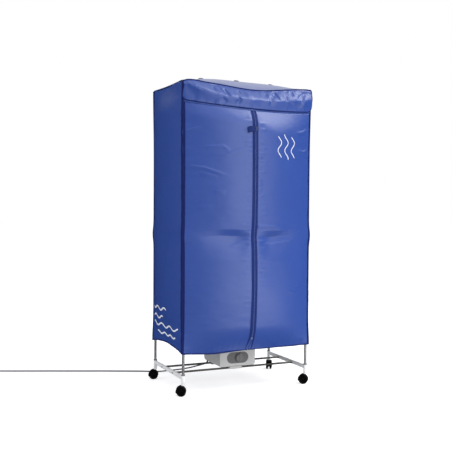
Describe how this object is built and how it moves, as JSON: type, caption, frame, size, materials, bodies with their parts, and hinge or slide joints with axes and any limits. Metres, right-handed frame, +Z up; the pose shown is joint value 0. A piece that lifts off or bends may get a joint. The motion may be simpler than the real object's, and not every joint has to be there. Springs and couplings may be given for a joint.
{
  "type": "drying cabinet",
  "caption": "Portable fabric drying cabinet: a tube frame on castors, a warm-air unit on the base rails, and a zipped blue cover whose front flap hangs over the top of the zip.",
  "frame": {"origin": "on the floor under the middle of the cabinet, where the castors stand at z = 0", "axes": "+X to the right of someone facing the zip, +Y from the front to the back, +Z up"},
  "size_m": [1.6035, 1.0722, 1.5505],
  "materials": {
    "side_bar_plastic": "moulded, satin",
    "dark_tube": "powder coated, satin",
    "zinc_steel": "zinc plated",
    "collar_plastic": "moulded, fine grain",
    "bright_tube": "bright plated tube",
    "sleeve_plastic": "moulded, fine grain",
    "castor_plastic": "moulded, smooth",
    "tread": "moulded, rolled dull",
    "housing_plastic": "moulded, smooth",
    "dark_plastic": "moulded, fine grain",
    "panel_plastic": "spark-eroded grain",
    "knob_plastic": "moulded, satin",
    "duct_plastic": "moulded, satin",
    "motor_metal": "cast and turned",
    "element_frame": "moulded, heat resistant",
    "element_metal": "rolled strip",
    "blue_cloth": "plain weave, light sheen",
    "pale_cloth": "plain weave, light sheen",
    "navy_tape": "woven tape",
    "zip_plastic": "moulded coil",
    "slider_metal": "lacquered die casting",
    "lead_sheath": "extruded sheath, dull",
    "plug_plastic": "moulded, fine grain",
    "pin_metal": "nickel-plated brass"
  },
  "bodies": {
    "cabinet": {"base_side_left": "side_bar_plastic", "base_side_right": "side_bar_plastic", "base_rail_front": "dark_tube", "base_rail_rear": "dark_tube", "rail_screws": "zinc_steel", "pole_collars": "collar_plastic", "lower_poles": "bright_tube", "upper_poles": "bright_tube", "pole_sleeves": "sleeve_plastic", "top_corners": "collar_plastic", "top_bar_left": "bright_tube", "top_bar_right": "bright_tube", "top_rail_front": "bright_tube", "top_rail_rear": "bright_tube", "hanging_rail": "bright_tube", "rail_brackets": "collar_plastic", "heater_tub": "housing_plastic", "heater_lid": "housing_plastic", "heater_screws": "zinc_steel", "rail_clips": "sleeve_plastic", "inlet_grille": "dark_plastic", "outlet_grille": "housing_plastic", "control_panel": "panel_plastic", "timer_body": "duct_plastic", "fan_duct": "duct_plastic", "fan_motor": "motor_metal", "heating_element": "element_frame", "element_fins": "element_metal", "thermal_cutout": "dark_plastic", "terminal_block": "duct_plastic", "strain_relief": "lead_sheath", "cover_left": "blue_cloth", "cover_right": "blue_cloth", "cover_back": "blue_cloth", "cover_top": "pale_cloth", "cover_header": "blue_cloth", "cover_piping": "navy_tape", "vent_caps": "dark_plastic", "mains_lead": "lead_sheath", "lead_coil": "lead_sheath", "plug_body": "plug_plastic", "plug_pins": "pin_metal"},
    "left_door": {"door_left": "blue_cloth", "zip_tape_left": "navy_tape", "zip_coil": "zip_plastic"},
    "right_door": {"door_right": "blue_cloth", "zip_tape_right": "navy_tape"},
    "slider": {"zip_slider": "slider_metal", "zip_pull": "navy_tape"},
    "flap": {"front_flap": "blue_cloth"},
    "knob": {"timer_knob": "knob_plastic"},
    "fan": {"fan_impeller": "dark_plastic"},
    "castor_fl": {"castor_hood_fl": "castor_plastic"},
    "wheels_fl": {"castor_wheels_fl": "tread"},
    "castor_fr": {"castor_hood_fr": "castor_plastic"},
    "wheels_fr": {"castor_wheels_fr": "tread"},
    "castor_bl": {"castor_hood_bl": "castor_plastic"},
    "wheels_bl": {"castor_wheels_bl": "tread"},
    "castor_br": {"castor_hood_br": "castor_plastic"},
    "wheels_br": {"castor_wheels_br": "tread"}
  },
  "joints": [
    {"name": "left_door_hinge", "type": "hinge", "parent": "cabinet", "child": "left_door", "pos_m": [-0.3475, -0.2125, 0.8], "axis": [0, 0, -1], "range_deg": [0, 120]},
    {"name": "right_door_hinge", "type": "hinge", "parent": "cabinet", "child": "right_door", "pos_m": [0.3475, -0.2125, 0.8], "axis": [0, 0, 1], "range_deg": [0, 120]},
    {"name": "zip_slide", "type": "slide", "parent": "left_door", "child": "slider", "axis": [0, 0, 1], "range_m": [-0.8, 0.03]},
    {"name": "flap_hinge", "type": "hinge", "parent": "cabinet", "child": "flap", "pos_m": [0, -0.216, 1.507], "axis": [-1, 0, 0], "range_deg": [0, 100]},
    {"name": "knob_turn", "type": "hinge", "parent": "cabinet", "child": "knob", "pos_m": [0.008, -0.1, 0.142], "axis": [0, 1, 0], "range_deg": [0, 300]},
    {"name": "fan_spin", "type": "hinge", "parent": "cabinet", "child": "fan", "pos_m": [0, 0.02, 0.13], "axis": [0, 0, 1], "continuous": true},
    {"name": "swivel_fl", "type": "hinge", "parent": "cabinet", "child": "castor_fl", "pos_m": [-0.336, -0.201, 0.051], "axis": [0, 0, 1], "continuous": true},
    {"name": "roll_fl", "type": "hinge", "parent": "castor_fl", "child": "wheels_fl", "pos_m": [-0.34416, -0.1972, 0.024], "axis": [-0.4226, -0.9063, 0], "continuous": true},
    {"name": "swivel_fr", "type": "hinge", "parent": "cabinet", "child": "castor_fr", "pos_m": [0.336, -0.201, 0.051], "axis": [0, 0, 1], "continuous": true},
    {"name": "roll_fr", "type": "hinge", "parent": "castor_fr", "child": "wheels_fr", "pos_m": [0.32911, -0.19521, 0.024], "axis": [-0.6428, -0.766, 0], "continuous": true},
    {"name": "swivel_bl", "type": "hinge", "parent": "cabinet", "child": "castor_bl", "pos_m": [-0.336, 0.201, 0.051], "axis": [0, 0, 1], "continuous": true},
    {"name": "roll_bl", "type": "hinge", "parent": "castor_bl", "child": "wheels_bl", "pos_m": [-0.34416, 0.2048, 0.024], "axis": [-0.4226, -0.9063, 0], "continuous": true},
    {"name": "swivel_br", "type": "hinge", "parent": "cabinet", "child": "castor_br", "pos_m": [0.336, 0.201, 0.051], "axis": [0, 0, 1], "continuous": true},
    {"name": "roll_br", "type": "hinge", "parent": "castor_br", "child": "wheels_br", "pos_m": [0.33234, 0.19278, 0.024], "axis": [0.9135, -0.4067, 0], "continuous": true}
  ]
}
